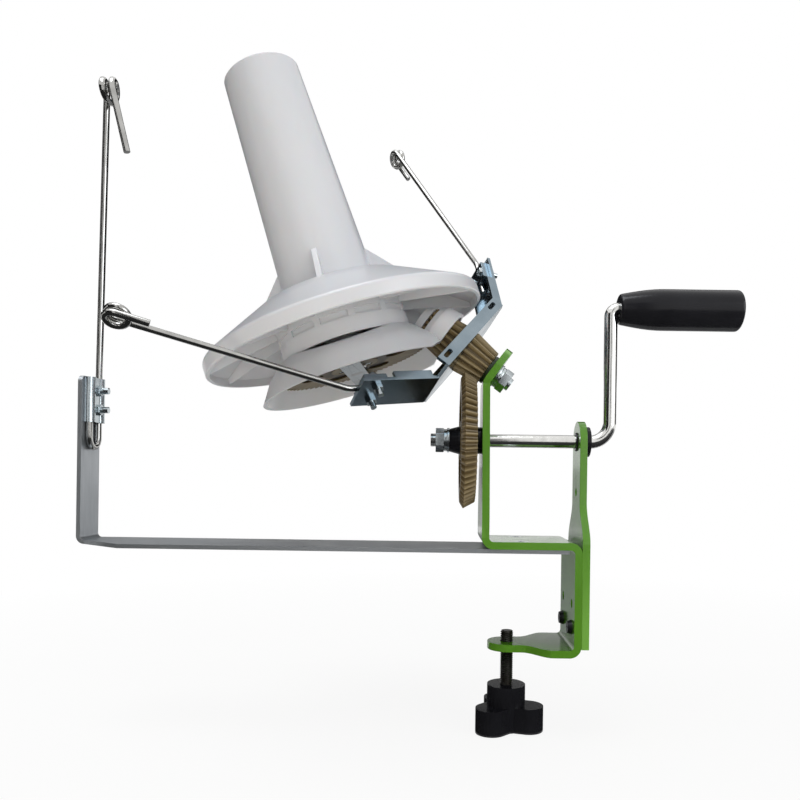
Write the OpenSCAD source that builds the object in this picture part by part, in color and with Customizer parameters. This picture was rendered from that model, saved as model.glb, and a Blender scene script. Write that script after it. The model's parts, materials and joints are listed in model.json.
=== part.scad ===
// Hand-cranked yarn ball winder with a table clamp, in millimetres.
// Z = 0 is the table top under the guide bar; X = Y = 0 is the clamp screw's axis.
// The crank is at +X, the winding cone at -X and the yarn guide at the far -X end.

/* [Frame] */
// Thickness of the painted sheet steel
sheet_t = 4.4; // [3.8:0.1:5]
// Width of the bent strip at the table plate
frame_w = 50; // [48:1:58]
// Inside radius of the bends in the sheet
bend_r = 2.5; // [2:0.1:3.5]
// Clear height from the table seat to the lower jaw
jaw_gap = 56; // [52:1:70]
// Distance from the clamp screw to the rear leg
throat = 37; // [34:1:44]
// Distance from the clamp screw to the front upright
front_x = 17.6; // [15:0.2:20]
// Width of the lug and of the top of the front upright
lug_w = 28; // [24:1:32]
// Width of the lower jaw at its round tip
jaw_tip_w = 24; // [20:1:28]
// Width of the rear upright's neck
neck_w = 25; // [22:1:30]

/* [Yarn guide] */
// Thickness of the guide bar
bar_t = 2.5; // [2:0.1:4]
// Width of the guide bar
bar_w = 46; // [44:1:48]
// Distance from the clamp screw to the guide bar's upright
guide_x = 266; // [240:1:280]
// Width of the guide bar's upright
guide_w = 24; // [22:1:28]
// Height of the guide bar's upright
guide_h = 104; // [98:1:120]
// Diameter of the yarn guide wire
guide_wire_d = 4; // [3:0.1:4.5]
// Height of the top of the yarn guide wire
guide_top = 293; // [270:1:330]
// Distance between the two legs of the wire's hairpin
hairpin_w = 12; // [11:0.5:14]

/* [Crank] */
// Height of the crank axis above the seat
crank_h = 67; // [64:0.5:74]
// Diameter of the crank rod
rod_d = 8; // [7:0.1:8.6]
// Distance from the clamp screw to the crank arm
arm_x = 61.5; // [60:0.5:75]
// Length of the crank arm between its axes
arm_len = 82; // [70:1:100]
// Length of the handle
grip_len = 74; // [66:1:90]
// Largest diameter of the handle
grip_d = 25.2; // [23:0.2:30]
// Diameter of the handle at the crank arm
grip_neck_d = 19; // [17:0.2:22]

/* [Gears] */
// Angle between the crank axis and the flyer axis
flyer_tilt = 36; // [35:0.2:37]
// Teeth on the drive gear
drive_teeth = 60; // [58:1:62]
// Teeth on both pinions
pinion_teeth = 17; // [16:1:18]
// Teeth on the cone gear
cone_teeth = 72; // [70:1:75]
// Pitch radius of the drive gear at its large end
drive_r = 40.5; // [39:0.1:41.5]
// Width of the drive gear's teeth along the cone
drive_face = 8; // [6:0.2:8.6]
// Distance from the front upright to the drive gear's large end
gear_back = 10.7; // [10:0.1:12]
// Pitch radius of the cone gear at its large end
cone_gear_r = 45.5; // [44.5:0.1:46.5]
// Width of the cone gear's teeth along the cone
cone_gear_face = 5.5; // [5:0.1:7]
// Backlash between meshing teeth
backlash = 0.3; // [0.25:0.01:0.45]

/* [Flyer] */
// Distance along the flyer axis from the crank axis to the yoke
yoke_s = 92.5; // [91.5:0.1:94]
// Half length of the yoke's flat plate
yoke_half = 45.5; // [43:0.5:49]
// Width of the yoke over its flanges
yoke_w = 34; // [33.4:0.2:38]
// Height of the yoke's flanges
flange_h = 6; // [4:0.2:6.4]
// Thickness of the yoke's sheet
yoke_t = 2; // [1.6:0.1:2.4]
// Length of each yoke leg
leg_len = 46.5; // [42:0.5:50]
// Angle of the legs above the yoke's plate
leg_rise = 37.4; // [34:0.2:40]
// Diameter of the flyer wires
flyer_wire_d = 3.5; // [3:0.1:4]
// Length of each flyer wire from the leg to its eye
flyer_len = 119; // [105:1:135]
// Angle between each flyer wire and the flyer axis
flyer_flare = 28.4; // [26:0.2:32]
// Turn of the flyer about its axis at rest
flyer_turn = 43; // [0:1:90]

/* [Cone] */
// Lean of the cone from the vertical
cone_tilt = 18.6; // [18:0.1:19.2]
// Distance along the flyer axis from the crank axis to the cone axis
cross_s = 209.4; // [208:0.2:211]
// Height of the axes' crossing above the foot of the tube
cross_up = 37.4; // [36.6:0.1:38.2]
// Length of the tube
tube_len = 143; // [123:1:163]
// Radius of the tube at its foot
tube_foot_r = 28.9; // [27.5:0.1:30.5]
// Radius of the tube at its top
tube_top_r = 23.2; // [21.6:0.1:24.6]
// Radius of the flange
rim_r = 86.5; // [82:0.5:87.5]
// Drop of the flange from the tube to its rim
rim_drop = 29.5; // [28:0.1:31]
// Height of the turned-down lip
lip_h = 7.5; // [5:0.1:9]
// Wall of the white plastic
wall = 2.2; // [1.8:0.1:2.6]

/* [Clamp] */
// Diameter of the clamp screw
screw_d = 8; // [6:0.5:10]
// Height of the clamp screw's tip above the jaw
screw_up = 6.5; // [6:0.5:12]
// Clear length of screw between the jaw and the knob
screw_below = 22; // [18:0.5:28]
// Diameter of the knob's hub
hub_d = 23.4; // [20:0.2:26]
// Height of the knob
knob_h = 27; // [24:1:36]
// Reach of the knob's lobes from its axis
lobe_reach = 23; // [19:0.5:26]

/* [Hidden] */
$fn = 64;

// Clearances: a running fit, a fixed fit, and the end float of a turning piece.
run_fit = 0.05;
fixed_fit = 0.02;
float_gap = 0.3;
eps = 0.01;
far = 400;

green = [0.42, 0.66, 0.26];
zinc = [0.62, 0.67, 0.70];
steel = [0.75, 0.75, 0.77];
white_plastic = [0.87, 0.87, 0.87];
black_plastic = [0.05, 0.05, 0.06];
gear_brown = [0.58, 0.45, 0.25];
dark_screw = [0.12, 0.12, 0.13];

// Frame levels and faces.
table_z0 = bar_t;
table_z1 = bar_t + sheet_t;
front_out = -front_x;
front_in = front_out + sheet_t;
leg_out = throat + sheet_t;
rear_out = leg_out + sheet_t;
jaw_z1 = -jaw_gap;
jaw_z0 = jaw_z1 - sheet_t;
rod_r = rod_d / 2;
bush_wall = 1.6;
bush_r = rod_r + run_fit + bush_wall;

// First bevel pair: drive gear on the crank, drive pinion on the flyer axis.
drive_ratio = drive_teeth / pinion_teeth;
pinion_cone_a = atan(sin(flyer_tilt) / (drive_ratio + cos(flyer_tilt)));
drive_cone_a = flyer_tilt - pinion_cone_a;
drive_axial = drive_r / tan(drive_cone_a);
gear_x = front_out - gear_back;
apex_x = gear_x + drive_axial;
drive_span = drive_face * cos(drive_cone_a);

// Second bevel pair: cone pinion on the flyer axis, cone gear on the cone axis.
cross_angle = 90 - flyer_tilt - cone_tilt;
cone_ratio = cone_teeth / pinion_teeth;
cone_pinion_a = atan(sin(cross_angle) / (cone_ratio + cos(cross_angle)));
cone_gear_a = cross_angle - cone_pinion_a;
cone_axial = cone_gear_r / tan(cone_gear_a);
cone_gear_z = cross_up - cone_axial;
cone_span = cone_gear_face * cos(cone_gear_a);
cone_mesh_top = cross_s - (cone_gear_r / sin(cone_gear_a) - cone_gear_face) * cos(cone_pinion_a);

// Tooth form shared by every gear.
pressure_a = 22.5;
addendum = 0.9;
dedendum = 1.2;
flank_steps = 3;

// Places along the flyer axis, measured from the crank axis.
axle_r = 4;
spacer_len = 2;
pinion_len = 17;
pinion_s = yoke_s - pinion_len;
lug_s1 = pinion_s - float_gap - spacer_len;
lug_s0 = lug_s1 - sheet_t;
washer_t = 1.5;
spring_t = 2;
nut_h = 5;
nut_af = 13;
stub = 2;
axle_washer_r = 7.5;
axle_spring_r = 6.8;
axle_s0 = lug_s0 - washer_t - spring_t - nut_h - stub;
spigot_len = 11;
spigot_r = 7;
cone_pinion_s0 = yoke_s + yoke_t;
cone_pinion_s1 = cone_mesh_top + 0.5;
boss_s0 = cone_pinion_s1 + float_gap;
boss_len = 5;
boss_s1 = boss_s0 + boss_len;
boss_r = 7.5;
axle_s1 = boss_s1 - 1;

// The lug's bend: its centre lies so that the lug's faces are at lug_s0 and lug_s1.
bend_x = front_in + bend_r;
bend_z = crank_h + (lug_s0 - bend_r - (apex_x - bend_x) * cos(flyer_tilt)) / sin(flyer_tilt);
lug_end = 3;
bend_q = (bend_x - apex_x) * sin(flyer_tilt) + (bend_z - crank_h) * cos(flyer_tilt);

// Winding cone levels, measured from the foot of the tube along the cone axis.
lip_z0 = -rim_drop;
lip_z1 = lip_z0 + lip_h;
skirt_r1 = 40;
seat_r = 47;
flange_slope = -lip_z1 / (rim_r - seat_r);
skirt_r0 = skirt_r1 - wall;
skirt_drop = 4;
skirt_z0 = lip_z0 - skirt_drop;
bell_z1 = skirt_z0;
bell_fold_r = 52.6;
bell_fold_z = lip_z0 - 13;
bell_z0 = lip_z0 - 24.5;
bell_rim_r = 60;
bell_t = 2.4;
neck_gap = 0.7;
neck_r0 = skirt_r1 + neck_gap;
neck_r1 = neck_r0 + bell_t;
notch_deep = 3.2;
notch_half = 43;
notch_y = neck_r1 * cos(notch_half);
notch_tilt = atan(notch_deep / (neck_r1 - notch_y));
trim_s = 107;
hood_r0 = 17.5;
hood_r1 = 16;
hood_wall = 2;
hood_mid = 9;
post_r = 4;
gear_hub_r = 15;
gear_web = 3.5;
hub_split_z = cone_gear_z + 12.5;
hub_top_z = 75;
cone_hub_r = 13;
collar_t = 1.2;
collar_r = 7;
carrier_t = 3;
carrier_w = 12;
gear_hub_z0 = cone_gear_z - 0.5;
collar_z1 = gear_hub_z0 - float_gap;
carrier_z1 = collar_z1 - collar_t;
carrier_z0 = carrier_z1 - carrier_t;

// Bell radius outside at a level, and its inside.
function bell_r(z) = bell_fold_r + (bell_fold_z - z) / (bell_fold_z - bell_z0) * (bell_rim_r - bell_fold_r);
carrier_seat = 5.5;
carrier_half = bell_r(carrier_z1) - bell_t - 0.5;
carrier_in = cone_gear_r + 1.8;
carrier_screw_y = carrier_half - 2.4;
carrier_screw_r = 1.6;

module at_crank() { translate([0, 0, crank_h]) rotate([0, 90, 0]) children(); }
module at_flyer() { translate([apex_x, 0, crank_h]) rotate([0, flyer_tilt - 90, 0]) children(); }
module at_cone() {
  at_flyer() translate([0, 0, cross_s]) rotate([0, cross_angle, 0]) translate([0, 0, -cross_up])
    children();
}
module in_flyer() { at_flyer() rotate([0, 0, flyer_turn]) children(); }

// A quarter or part turn of sheet about the Y axis, from angle a0 in the XZ plane.
module sheet_bend(x, z, r, t, w, a0, a) {
  translate([x, 0, z]) rotate([90, 0, 0]) rotate([0, 0, a0])
    rotate_extrude(angle = a) translate([r, -w / 2]) square([t, w]);
}
module ring(r_out, r_in, h) {
  difference() {
    cylinder(r = r_out, h = h);
    translate([0, 0, -1]) cylinder(r = r_in, h = h + 2);
  }
}
module hex_nut(af, r_in, h) {
  difference() {
    cylinder(r = af / sqrt(3), h = h, $fn = 6);
    translate([0, 0, -1]) cylinder(r = r_in, h = h + 2, $fn = 48);
  }
}
// A pan-head screw: shank up from z = 0, head below it.
module pan_screw(r, len, head_r, head_h) {
  cylinder(r = r, h = len);
  translate([0, 0, -head_h]) difference() {
    cylinder(r1 = head_r * 0.8, r2 = head_r, h = head_h);
    for (a = [0, 90]) rotate([0, 0, a]) translate([-head_r * 0.5, -0.4, -eps])
      cube([head_r, 0.8, head_h * 0.4]);
  }
}
function arc(cx, cy, r, a0, a1, n) =
  [for (i = [0:n]) [cx + r * cos(a0 + (a1 - a0) * i / n), cy + r * sin(a0 + (a1 - a0) * i / n)]];

// Bevel teeth: an involute on the back cone, drawn in the plane of the large end.
function inv(a) = tan(a) * 180 / PI - a;
function half_tooth(r, rv, rb, m) =
  (PI * m / 2 - backlash) / (2 * rv) * 180 / PI + inv(pressure_a) - inv(acos(min(1, rb / max(r, rb))));
function tooth_radii(rv, rb, m) =
  let (r0 = max(rb, rv - dedendum * m), r1 = rv + addendum * m)
    [for (i = [0:flank_steps - 1]) r0 + (r1 - r0) * i / (flank_steps - 1)];
function gear_outline(teeth, r, cone_a) =
  let (m = 2 * r / teeth, rv = r / cos(cone_a), rb = rv * cos(pressure_a), root = rv - dedendum * m,
       radii = tooth_radii(rv, rb, m), foot = half_tooth(rb, rv, rb, m))
    [for (k = [0:teeth - 1]) let (mid = 360 * k / teeth)
      each concat(
        [polar(root, -foot, mid, r, rv, cone_a)],
        [for (q = radii) polar(q, -half_tooth(q, rv, rb, m), mid, r, rv, cone_a)],
        [for (i = [1:flank_steps]) let (q = radii[flank_steps - i])
          polar(q, half_tooth(q, rv, rb, m), mid, r, rv, cone_a)],
        [polar(root, foot, mid, r, rv, cone_a)])];
function polar(q, a, mid, r, rv, cone_a) =
  let (d = r + (q - rv) / cos(cone_a), t = mid + a / cos(cone_a)) [d * cos(t), d * sin(t)];

// Teeth from the large end at z = 0 towards the apex at z = apex, h high.
module bevel_teeth(teeth, r, cone_a, apex, h) {
  linear_extrude(height = h, scale = (apex - h) / apex) polygon(gear_outline(teeth, r, cone_a));
}

// A round wire along points, with ring axes kept square to the reference direction.
wire_sides = 10;
function unit(v) = v / norm(v);
function along(p, i) =
  i == 0 ? unit(p[1] - p[0])
  : i == len(p) - 1 ? unit(p[i] - p[i - 1])
  : unit(unit(p[i + 1] - p[i]) + unit(p[i] - p[i - 1]));
module wire(p, d, ref) {
  n = wire_sides;
  rings = [for (i = [0:len(p) - 1])
    let (t = along(p, i), b = unit(ref - (ref * t) * t), c = cross(b, t))
      [for (j = [0:n - 1]) p[i] + d / 2 * (cos(360 * j / n) * c + sin(360 * j / n) * b)]];
  last = (len(p) - 1) * n;
  polyhedron(
    points = [for (r = rings) each r],
    faces = concat(
      [for (i = [0:len(p) - 2], j = [0:n - 1]) let (k = (j + 1) % n)
        each [[i * n + j, (i + 1) * n + j, (i + 1) * n + k], [i * n + j, (i + 1) * n + k, i * n + k]]],
      [for (j = [1:n - 2]) [0, j, j + 1]],
      [for (j = [1:n - 2]) [last, last + j + 1, last + j]]));
}
// Points of an eye: a coil that starts at p0 along w, turns towards n and climbs along b.
eye_turns = 1.5;
eye_steps = 36;
function eye(p0, w, n, b, r, pitch) =
  [for (i = [1:eye_steps]) let (a = 360 * eye_turns * i / eye_steps)
    p0 + r * sin(a) * w + r * (1 - cos(a)) * n + pitch * a / 360 * b];
function self_gap(p, d, skip) =
  min([for (i = [0:len(p) - 1 - skip], j = [i + skip:len(p) - 1]) norm(p[i] - p[j])]) - d;

// Bent strip: jaw, rear leg, table plate, front upright and lug.
upright_flat = 14;
// A sloping bend is this much inside the sheet's faces, so that it runs into both plates.
thin = 0.05;
upright_top = bend_z;
jaw_flare_x0 = 8;
jaw_flare_x1 = 25;
flare_steps = 10;
hole_fit = 0.15;
leg_hole_y = 15;
leg_hole_r = 2.75;
leg_hole_z = -30;
leg_screw_z = -44;
leg_screw_r = 2.5;
bar_screw_x = 6;
bar_screw_y = 17;
bar_screw_r = 2.3;
bar_head_r = 4.6;
function ease(t) = (1 - cos(180 * t)) / 2;
jaw_edge = [for (i = [0:flare_steps]) let (t = i / flare_steps)
  [jaw_flare_x0 + (jaw_flare_x1 - jaw_flare_x0) * t,
   jaw_tip_w / 2 + (frame_w - jaw_tip_w) / 2 * ease(t)]];
jaw_root_x = throat - bend_r;
module jaw_outline() {
  circle(d = jaw_tip_w);
  polygon(concat(
    [[0, jaw_tip_w / 2]], jaw_edge, [[jaw_root_x, frame_w / 2], [jaw_root_x, -frame_w / 2]],
    [for (i = [flare_steps:-1:0]) [jaw_edge[i][0], -jaw_edge[i][1]]], [[0, -jaw_tip_w / 2]]));
}
module leg_drillings() {
  for (y = [-leg_hole_y, leg_hole_y]) translate([throat - 1, y, 0]) rotate([0, 90, 0]) {
    translate([-leg_hole_z, 0, 0]) cylinder(r = leg_hole_r, h = 3 * sheet_t);
    translate([-leg_screw_z, 0, 0]) cylinder(r = leg_screw_r + fixed_fit, h = 3 * sheet_t);
  }
}
module bar_screw_shape(fit) {
  translate([0, 0, table_z1]) {
    translate([0, 0, -table_z1 - fit]) cylinder(r = bar_screw_r + fit, h = table_z1 + fit);
    translate([0, 0, bar_screw_r - bar_head_r])
      cylinder(r1 = bar_screw_r + fit, r2 = bar_head_r + fit, h = bar_head_r - bar_screw_r + fit);
  }
}
module main_bracket() {
  color(green) difference() {
    union() {
      translate([0, 0, jaw_z0]) linear_extrude(sheet_t) jaw_outline();
      sheet_bend(throat - bend_r, jaw_z1 + bend_r, bend_r, sheet_t, frame_w, -90, 90);
      translate([throat, -frame_w / 2, jaw_z1 + bend_r])
        cube([sheet_t, frame_w, jaw_gap - 2 * bend_r + table_z0]);
      sheet_bend(throat - bend_r, table_z0 - bend_r, bend_r, sheet_t, frame_w, 0, 90);
      translate([bend_x, -frame_w / 2, table_z0]) cube([throat - bend_r - bend_x, frame_w, sheet_t]);
      sheet_bend(bend_x, table_z1 + bend_r, bend_r, sheet_t, frame_w, 180, 90);
      translate([front_out, 0, 0]) rotate([90, 0, 90]) linear_extrude(sheet_t) polygon([
        [-frame_w / 2, table_z1 + bend_r], [frame_w / 2, table_z1 + bend_r],
        [frame_w / 2, table_z1 + upright_flat], [lug_w / 2, upright_top],
        [-lug_w / 2, upright_top], [-frame_w / 2, table_z1 + upright_flat]]);
      sheet_bend(bend_x, bend_z, bend_r + thin, sheet_t - 2 * thin, lug_w - 2 * thin, 181, -flyer_tilt - 2);
      at_flyer() translate([0, 0, lug_s0]) linear_extrude(sheet_t) {
        intersection() {
          translate([lug_end, 0]) circle(d = lug_w);
          translate([bend_q, -lug_w]) square([far, 2 * lug_w]);
        }
        translate([bend_q, -lug_w / 2]) square([lug_end - bend_q, lug_w]);
      }
    }
    translate([0, 0, jaw_z0 - 1]) cylinder(r = screw_d / 2 + run_fit, h = sheet_t + 2);
    translate([front_out - 1, 0, 0]) at_crank() cylinder(r = bush_r + fixed_fit, h = sheet_t + 2);
    at_flyer() translate([0, 0, lug_s0 - 1]) cylinder(r = axle_r + fixed_fit, h = sheet_t + 2);
    for (y = [-bar_screw_y, bar_screw_y]) translate([bar_screw_x, y, 0]) bar_screw_shape(fixed_fit);
    leg_drillings();
  }
}

// Pin-shaped plate on the outside of the rear leg.
neck_z = 30;
waist_z = 6;
rear_hole_z = 36;
rear_hole_r = 2.5;
rear_z0 = jaw_z1 + 0.5;
rear_edge = [for (i = [0:flare_steps]) let (t = i / flare_steps)
  [frame_w / 2 + (neck_w - frame_w) / 2 * ease(t), waist_z + (neck_z - waist_z) * t]];
module rear_upright() {
  color(green) difference() {
    translate([leg_out, 0, 0]) rotate([90, 0, 90]) linear_extrude(sheet_t) {
      translate([0, crank_h]) circle(d = neck_w);
      polygon(concat(
        [[-frame_w / 2, rear_z0], [frame_w / 2, rear_z0]], rear_edge, [[neck_w / 2, crank_h]],
        [[-neck_w / 2, crank_h]], [for (i = [flare_steps:-1:0]) [-rear_edge[i][0], rear_edge[i][1]]]));
    }
    translate([leg_out - 1, 0, 0]) at_crank() cylinder(r = bush_r + fixed_fit, h = sheet_t + 2);
    translate([leg_out - 1, 0, rear_hole_z]) rotate([0, 90, 0]) cylinder(r = rear_hole_r, h = sheet_t + 2);
    leg_drillings();
  }
}
leg_head_r = 4.4;
leg_head_h = 2.6;
module leg_screws() {
  color(dark_screw) for (y = [-leg_hole_y, leg_hole_y])
    translate([throat, y, leg_screw_z]) rotate([0, 90, 0])
      pan_screw(leg_screw_r, 2 * sheet_t, leg_head_r, leg_head_h);
}

// Flat bar under the table plate, with its narrower upright at the far side.
bar_end_x = throat - bend_r - 0.5;
chamfer_len = 30;
guide_y0 = bar_w / 2 - guide_w;
guide_yc = bar_w / 2 - guide_w / 2;
guide_face = -guide_x + bar_t;
clip_len = 28;
clip_z0 = guide_h - clip_len - 0.5;
clip_screw_r = 2;
clip_screw_z = [clip_z0 + 8, clip_z0 + 20];
clip_t = 1.6;
clip_r = guide_wire_d / 2 + clip_t;
guide_axis_x = guide_face + guide_wire_d / 2 + fixed_fit;
clip_face = guide_axis_x + 0.6;
top_corner_r = 4;
module guide_bar() {
  bend_cx = -guide_x + bar_t + bend_r;
  color([0.55, 0.58, 0.60]) difference() {
    union() {
      linear_extrude(bar_t) polygon([
        [bar_end_x, -bar_w / 2], [bar_end_x, bar_w / 2], [bend_cx, bar_w / 2], [bend_cx, guide_y0],
        [bend_cx + chamfer_len, -bar_w / 2]]);
      translate([0, guide_yc, 0]) {
        sheet_bend(bend_cx, bar_t + bend_r, bend_r, bar_t, guide_w, 180, 90);
        translate([-guide_x, 0, 0]) rotate([90, 0, 90]) linear_extrude(bar_t) {
          translate([-guide_w / 2, bar_t + bend_r])
            square([guide_w, guide_h - bar_t - bend_r - top_corner_r]);
          translate([-guide_w / 2 + top_corner_r, guide_h - top_corner_r - eps])
            square([guide_w - 2 * top_corner_r, top_corner_r + eps]);
          for (s = [-1, 1]) translate([s * (guide_w / 2 - top_corner_r), guide_h - top_corner_r])
            circle(r = top_corner_r);
        }
      }
    }
    for (y = [-bar_screw_y, bar_screw_y]) translate([bar_screw_x, y, 0]) bar_screw_shape(fixed_fit);
    for (z = clip_screw_z) translate([-guide_x - 1, guide_yc, z]) rotate([0, 90, 0])
      cylinder(r = clip_screw_r + fixed_fit, h = bar_t + 2);
  }
}
module bar_screws() {
  color(zinc) for (y = [-bar_screw_y, bar_screw_y]) translate([bar_screw_x, y, 0]) difference() {
    bar_screw_shape(0);
    for (a = [0, 90]) rotate([0, 0, a]) translate([-bar_screw_r, -0.5, table_z1 - 1.2])
      cube([2 * bar_screw_r, 1, 2]);
  }
}
// Pressed saddle over both legs of the guide wire's hairpin.
module guide_clip() {
  color(zinc) difference() {
    translate([0, guide_yc, clip_z0]) union() {
      for (s = [-1, 1]) translate([guide_axis_x, s * hairpin_w / 2, 0]) cylinder(r = clip_r, h = clip_len);
      translate([clip_face, -hairpin_w / 2, 0]) cube([clip_t, hairpin_w, clip_len]);
    }
    translate([-far, -far / 2, clip_z0 - 1]) cube([far + guide_face + fixed_fit, far, clip_len + 2]);
    for (s = [-1, 1]) translate([guide_axis_x, guide_yc + s * hairpin_w / 2, clip_z0 - 1])
      cylinder(r = guide_wire_d / 2 + fixed_fit, h = clip_len + 2);
    translate([guide_face - 1, guide_yc - hairpin_w / 2, clip_z0 - 1])
      cube([clip_face - guide_face + 1, hairpin_w, clip_len + 2]);
    for (z = clip_screw_z) translate([guide_face, guide_yc, z]) rotate([0, 90, 0])
      cylinder(r = clip_screw_r + fixed_fit, h = 4 * clip_r);
  }
}
clip_head_r = 3.4;
clip_tail = 7;
module guide_clip_screws() {
  color(zinc) for (z = clip_screw_z) {
    translate([-guide_x, guide_yc, z]) rotate([0, 90, 0])
      pan_screw(clip_screw_r, clip_face + guide_x + clip_t + clip_tail, clip_head_r, 2);
    translate([clip_face + clip_t, guide_yc, z]) rotate([0, 90, 0])
      hex_nut(6, clip_screw_r + fixed_fit, 2.6);
  }
}
guide_eye_r = 6.5;
guide_pitch = 6;
guide_tail = [10, 0, -41];
hairpin_z = 66;
hairpin_steps = 10;
guide_lean = 2.5;
guide_eye_start =
  [guide_axis_x + guide_lean, guide_yc + hairpin_w / 2, guide_top - guide_eye_r - guide_wire_d / 2];
guide_eye = eye(guide_eye_start, [0, 0, 1], [0, -1, 0], [1, 0, 0], guide_eye_r, guide_pitch);
guide_path = concat(
  [[guide_axis_x, guide_yc - hairpin_w / 2, guide_h - 3]],
  [for (i = [0:hairpin_steps]) let (a = 180 + 180 * i / hairpin_steps)
    [guide_axis_x, guide_yc + hairpin_w / 2 * cos(a), hairpin_z + hairpin_w / 2 * sin(a)]],
  [[guide_axis_x, guide_yc + hairpin_w / 2, guide_h + 3], guide_eye_start], guide_eye,
  [guide_eye[len(guide_eye) - 1] + guide_tail]);
module guide_wire() {
  color(steel) wire(guide_path, guide_wire_d, [1, 0, 0]);
}

// Black plastic crank bearings, flanged against the uprights.
collar_out_r = 8.2;
rear_flange_r = 9.2;
rear_flange_t = 3.2;
front_collar = 5.6;
bush_lip = 1;
module front_bush() {
  color(black_plastic) translate([front_out - front_collar, 0, 0]) at_crank() {
    ring(collar_out_r, rod_r + run_fit, front_collar);
    ring(bush_r, rod_r + run_fit, front_collar + sheet_t + bush_lip);
  }
}
module rear_bush() {
  color(black_plastic) translate([leg_out - bush_lip, 0, 0]) at_crank() {
    ring(bush_r, rod_r + run_fit, sheet_t + bush_lip + eps);
    translate([0, 0, sheet_t + bush_lip]) ring(rear_flange_r, rod_r + run_fit, rear_flange_t);
  }
}

// Fixed axle through the lug, with its nut, and the spacer under the pinion.
module spindle_axle() {
  color(zinc) at_flyer() translate([0, 0, axle_s0]) cylinder(r = axle_r, h = axle_s1 - axle_s0);
}
module axle_washers() {
  color(zinc) at_flyer() {
    translate([0, 0, lug_s0 - washer_t]) ring(axle_washer_r, axle_r + fixed_fit, washer_t);
    translate([0, 0, lug_s0 - washer_t - spring_t]) ring(axle_spring_r, axle_r + fixed_fit, spring_t - eps);
  }
}
module axle_nut() {
  color(zinc) at_flyer() translate([0, 0, axle_s0 + stub]) hex_nut(nut_af, axle_r + fixed_fit, nut_h - eps);
}
spacer_r = 9.5;
module pinion_spacer() {
  color([0.10, 0.14, 0.08]) at_flyer() translate([0, 0, lug_s1])
    ring(spacer_r, axle_r + fixed_fit, spacer_len);
}

// White bell with the hood over the cone pinion; the axle is moulded into its boss.
module bell_body() {
  difference() {
    rotate_extrude() polygon([
      [neck_r0, bell_z1], [neck_r1, bell_z1], [bell_fold_r, bell_fold_z], [bell_rim_r, bell_z0],
      [bell_rim_r - bell_t, bell_z0], [bell_fold_r - bell_t, bell_fold_z - 0.7], [neck_r0, bell_z1 - 0.8]]);
    translate([0, -notch_y, bell_z1]) rotate([notch_tilt, 0, 0])
      translate([-far / 2, -far, 0]) cube([far, far, notch_deep + 5]);
  }
}
module bell_inside() {
  rotate_extrude() polygon([
    [0, bell_z1 + 20], [neck_r0 + bell_t / 2, bell_z1 + 20], [neck_r0 + bell_t / 2, bell_z1 - 0.4],
    [bell_fold_r - bell_t / 2, bell_fold_z - 0.35], [bell_rim_r - bell_t / 2, bell_z0],
    [bell_rim_r - bell_t + 15, bell_z0 - 25], [0, bell_z0 - 25]]);
}
module gear_housing() {
  color(white_plastic) difference() {
    union() {
      at_cone() bell_body();
      difference() {
        at_flyer() rotate_extrude() polygon([
          [0, trim_s], [hood_r0, trim_s], [hood_r1, trim_s + hood_mid], [boss_r + 0.5, boss_s1], [0, boss_s1]]);
        at_cone() bell_inside();
      }
      at_flyer() translate([0, 0, boss_s0]) cylinder(r = boss_r, h = boss_len);
      at_cone() for (s = [-1, 1]) intersection() {
        translate([-carrier_w / 2, s > 0 ? carrier_in : -far, carrier_z1])
          cube([carrier_w, far - carrier_in, carrier_seat]);
        rotate_extrude() polygon([
          [0, bell_fold_z], [bell_fold_r - 1, bell_fold_z], [bell_rim_r - 1, bell_z0], [0, bell_z0]]);
      }
    }
    at_flyer() {
      translate([0, 0, trim_s - far]) cylinder(r = far, h = far, $fn = 24);
      rotate_extrude() polygon([
        [0, trim_s - 1], [hood_r0 - hood_wall, trim_s - 1], [hood_r1 - hood_wall, trim_s + hood_mid],
        [hood_r1 - hood_wall - 1, boss_s0], [0, boss_s0]]);
      translate([0, 0, boss_s0 - 1]) cylinder(r = axle_r + fixed_fit, h = axle_s1 + fixed_fit - boss_s0 + 1);
    }
    at_cone() for (s = [-1, 1]) translate([0, s * carrier_screw_y, carrier_z1 - 1])
      cylinder(r = carrier_screw_r + fixed_fit, h = carrier_seat - 0.5);
  }
}
// Steel strap across the bell, under the cone gear, that holds the post.
module cone_carrier() {
  color(zinc) at_cone() difference() {
    translate([-carrier_w / 2, -carrier_half + 0.5, carrier_z0])
      cube([carrier_w, 2 * carrier_half - 1, carrier_t]);
    translate([0, 0, carrier_z0 - 1]) cylinder(r = post_r + fixed_fit, h = carrier_t + 2);
    for (s = [-1, 1]) translate([0, s * carrier_screw_y, carrier_z0 - 1])
      cylinder(r = carrier_screw_r + fixed_fit, h = carrier_t + 2);
  }
}
module carrier_screws() {
  color(zinc) at_cone() for (s = [-1, 1]) translate([0, s * carrier_screw_y, carrier_z0])
    pan_screw(carrier_screw_r, carrier_t + carrier_seat - 2, 3, 1.2);
}
post_top_z = hub_top_z + float_gap;
module cone_post() {
  color(steel) at_cone() difference() {
    union() {
      translate([0, 0, carrier_z0]) cylinder(r = post_r, h = post_top_z - carrier_z0);
      translate([0, 0, carrier_z1]) cylinder(r = collar_r, h = collar_t);
    }
    translate([0, 0, post_top_z - 14]) cylinder(r = 2 + fixed_fit, h = 15);
  }
}
module post_washer() {
  color(zinc) at_cone() translate([0, 0, post_top_z]) ring(9, 2 + fixed_fit, 1.2);
}
module post_screw() {
  color(zinc) at_cone() translate([0, 0, post_top_z + 1.2]) rotate([180, 0, 0]) pan_screw(2, 13, 4, 2.6);
}

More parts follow.
